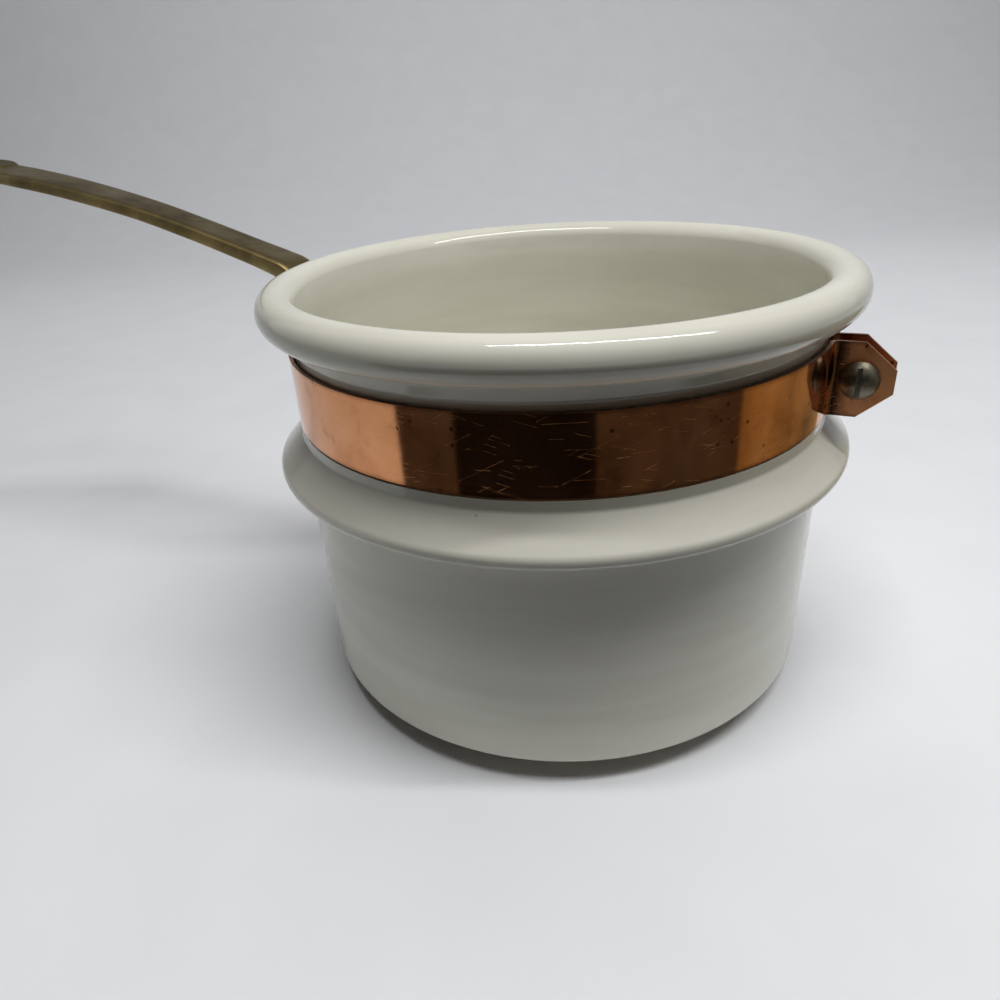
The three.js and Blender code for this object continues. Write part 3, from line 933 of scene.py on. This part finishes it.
def sheet_material():
    """White paper to the camera and in mirrors, which throws little light back from in front of the pot."""
    tooth_size = 33.3 * MM
    material, tree, output, place = new_material("white paper")
    tooth = add(tree, "ShaderNodeTexNoise", Vector=place, Scale=1 / tooth_size, Detail=2.0)
    tone = add(
        tree,
        "ShaderNodeValToRGB",
        Fac=tooth.outputs["Fac"],
        stops=[(0.3, colour("#e6e8eb")), (0.7, colour("#eaebee"))],
    )
    turned_back = add(tree, "ShaderNodeMapping", Vector=place, Rotation=(0, 0, -SHEET_END_TURN))
    axes = add(tree, "ShaderNodeSeparateXYZ", Vector=turned_back.outputs[0])
    beyond = add(
        tree,
        "ShaderNodeMapRange",
        Value=axes.outputs["Y"],
        i1=SHEET_END,
        i2=SHEET_END - SHEET_FADE,
        i3=0.0,
        i4=1.0,
    )
    path = add(tree, "ShaderNodeLightPath")
    mirrored = add(
        tree,
        "ShaderNodeMath",
        operation="MAXIMUM",
        i0=path.outputs["Is Glossy Ray"],
        i1=path.outputs["Is Transmission Ray"],
    )
    shown = add(
        tree,
        "ShaderNodeMath",
        operation="MAXIMUM",
        i0=path.outputs["Is Camera Ray"],
        i1=mirrored.outputs[0],
    )
    unseen = add(tree, "ShaderNodeMath", operation="SUBTRACT", i0=1.0, i1=shown.outputs[0])
    dark = add(tree, "ShaderNodeMath", operation="MULTIPLY", i0=beyond.outputs[0], i1=unseen.outputs[0])
    base = add(
        tree,
        "ShaderNodeMix",
        data_type="RGBA",
        i0=dark.outputs[0],
        i6=tone.outputs["Color"],
        i7=colour("#494745"),
    )
    shader = add(
        tree,
        "ShaderNodeBsdfPrincipled",
        Base_Color=base.outputs[2],
        Roughness=0.9,
        Specular_IOR_Level=0.1,
    )
    tree.links.new(shader.outputs[0], output.inputs[0])
    return material


def glowing_card_material(hex_code):
    """A card that glows dimly and a little unevenly: a painted reflection of a dim room, as the strap
    mirrors it.
    """
    haze_size = 40 * MM
    material, tree, output, place = new_material("dim glowing card")
    haze = add(tree, "ShaderNodeTexNoise", Vector=place, Scale=1 / haze_size, Detail=2.0)
    shade = add(tree, "ShaderNodeMapRange", Value=haze.outputs["Fac"], i1=0.3, i2=0.7, i3=0.75, i4=1.25)
    glow = add(tree, "ShaderNodeEmission", Color=colour(hex_code), Strength=shade.outputs[0])
    tree.links.new(glow.outputs[0], output.inputs[0])
    return material


def dark_material():
    """Black felt: matt, giving back almost no light, on the block and on the card in front of the set."""
    haze_size = 500 * MM
    material, tree, output, place = new_material("black felt")
    haze = add(tree, "ShaderNodeTexNoise", Vector=place, Scale=1 / haze_size)
    tone = add(
        tree,
        "ShaderNodeValToRGB",
        Fac=haze.outputs["Fac"],
        stops=[(0.3, colour("#0b0a09")), (0.7, colour("#16130f"))],
    )
    shader = add(
        tree,
        "ShaderNodeBsdfPrincipled",
        Base_Color=tone.outputs["Color"],
        Roughness=1.0,
        Specular_IOR_Level=0.0,
    )
    tree.links.new(shader.outputs[0], output.inputs[0])
    return material


def stage_piece(name, bm, material):
    """A piece of the set, turned with it."""
    bmesh.ops.transform(bm, matrix=SET_TURN, verts=bm.verts)
    piece = finished(name, bm, [material], 60)
    return piece


sweep_bm = bmesh.new()
side = [
    Vector((-SWEEP_HALF_WIDTH, SWEEP_FRONT, -RISER_HEIGHT)),
    *[
        Vector((-SWEEP_HALF_WIDTH, SWEEP_BACK + p.x, p.z))
        for p in arc(0, SWEEP_RADIUS - RISER_HEIGHT, SWEEP_RADIUS, -90, 0, 24)
    ],
    Vector((-SWEEP_HALF_WIDTH, SWEEP_BACK + SWEEP_RADIUS, SWEEP_TOP)),
]
side_verts = [sweep_bm.verts.new(p) for p in side]
side_edges = [sweep_bm.edges.new(pair) for pair in zip(side_verts, side_verts[1:])]
swept = bmesh.ops.extrude_edge_only(sweep_bm, edges=side_edges)
bmesh.ops.translate(sweep_bm, verts=fresh_verts(swept), vec=(2 * SWEEP_HALF_WIDTH, 0, 0))
for face in sweep_bm.faces:
    if face.normal.z < 0 or face.normal.y > 0:
        face.normal_flip()
stage_piece("paper_sweep", sweep_bm, sheet_material())

riser_bm = rod(RISER_RADIUS, RISER_HEIGHT, 96, Matrix.Translation((0, 0, -RISER_HEIGHT / 2)))
stage_piece("riser", riser_bm, dark_material())

card_bm = bmesh.new()
card_foot = [card_bm.verts.new((x, CARD_FRONT, 0)) for x in (-CARD_HALF_WIDTH, CARD_HALF_WIDTH)]
card_edge = card_bm.edges.new(card_foot)
raised = bmesh.ops.extrude_edge_only(card_bm, edges=[card_edge])
bmesh.ops.translate(card_bm, verts=fresh_verts(raised), vec=(0, 0, CARD_HEIGHT))
card = stage_piece("dark_room", card_bm, dark_material())
card.visible_camera = False
card.visible_shadow = False

# Each card glows with its colour and only mirrors see it: a painted reflection of a dim room in the strap.
for start, end, hex_code in ROOM_PANELS:
    panel_bm = bmesh.new()
    foot_line = arc(0, 0, ROOM_RADIUS, start, end, 12)
    line_verts = [panel_bm.verts.new((p.x, p.z, -RISER_HEIGHT)) for p in foot_line]
    line_edges = [panel_bm.edges.new(pair) for pair in zip(line_verts, line_verts[1:])]
    raised = bmesh.ops.extrude_edge_only(panel_bm, edges=line_edges)
    bmesh.ops.translate(panel_bm, verts=fresh_verts(raised), vec=(0, 0, ROOM_HEIGHT))
    panel = stage_piece("room_panel", panel_bm, glowing_card_material(hex_code))
    panel.visible_camera = False
    panel.visible_diffuse = False
    panel.visible_shadow = False


def lamp(name, place, target, size, power):
    """A soft rectangular lamp at a place of the set, facing a target."""
    light = bpy.data.lights.new(name, "AREA")
    light.shape = "RECTANGLE"
    light.size, light.size_y = size
    light.energy = power
    holder = bpy.data.objects.new(name, light)
    bpy.context.scene.collection.objects.link(holder)
    aim = (Vector(target) - Vector(place)).to_track_quat("-Z", "Y").to_matrix().to_4x4()
    holder.matrix_world = SET_TURN @ Matrix.Translation(place) @ aim
    return holder


lamp("ceiling tube", (0.29, -0.164, 1.2), (0.29, -0.164, 0), (1.18, 0.064), 8.4)
for soft in (
    lamp("overhead", (0.1, 0.35, 1.2), (0, 0.15, 0), (1.1, 0.8), 3.0),
    lamp("front", (0.12, -0.2, 0.6), (0.12, -0.2, 0), (0.5, 0.1), 1.2),
    lamp("backdrop", (-0.3, 0.4, 0.75), (-0.3, 1.2, 0.2), (2.0, 0.25), 2.6),
):
    soft.visible_glossy = False

# The pale room: how bright it is as a light, more to the camera and more in mirrors.
ROOM_LIGHT = 0.04
ROOM_SEEN = 0.7
ROOM_MIRRORED = 0.4
world = bpy.data.worlds.new("pale room")
bpy.context.scene.world = world
world.use_nodes = True
world_tree = world.node_tree
world_tree.nodes.clear()
world_path = add(world_tree, "ShaderNodeLightPath")
seen = add(
    world_tree,
    "ShaderNodeMath",
    operation="MULTIPLY_ADD",
    i0=world_path.outputs["Is Camera Ray"],
    i1=ROOM_SEEN,
    i2=ROOM_LIGHT,
)
in_mirrors = add(
    world_tree,
    "ShaderNodeMath",
    operation="MAXIMUM",
    i0=world_path.outputs["Is Glossy Ray"],
    i1=world_path.outputs["Is Transmission Ray"],
)
mirrored = add(
    world_tree,
    "ShaderNodeMath",
    operation="MULTIPLY_ADD",
    i0=in_mirrors.outputs[0],
    i1=ROOM_MIRRORED,
    i2=seen.outputs[0],
)
air = add(world_tree, "ShaderNodeBackground", Color=colour("#e4e4e2"), Strength=mirrored.outputs[0])
add(world_tree, "ShaderNodeOutputWorld", Surface=air.outputs[0])


# Camera
# Where the photograph was taken from: close to the pot, a little above its rim, and tilted slightly to
# one side.
CAMERA_PLACE = (0.0785, -0.1993, 0.1484)
CAMERA_HEADING = math.radians(26.47)
CAMERA_DIP = math.radians(27.16)
CAMERA_ROLL = math.radians(-3.62)
CAMERA_LENS = 27.36
CAMERA_SENSOR = 36

camera_data = bpy.data.cameras.new("camera")
camera_data.lens = CAMERA_LENS
camera_data.sensor_width = CAMERA_SENSOR
camera_data.clip_start = 5 * MM
camera = bpy.data.objects.new("camera", camera_data)
bpy.context.scene.collection.objects.link(camera)
camera.matrix_world = (
    Matrix.Translation(CAMERA_PLACE)
    @ Matrix.Rotation(CAMERA_HEADING, 4, "Z")
    @ Matrix.Rotation(math.pi / 2 - CAMERA_DIP, 4, "X")
    @ Matrix.Rotation(CAMERA_ROLL, 4, "Z")
)
bpy.context.scene.camera = camera
bpy.context.scene.view_settings.view_transform = "Standard"
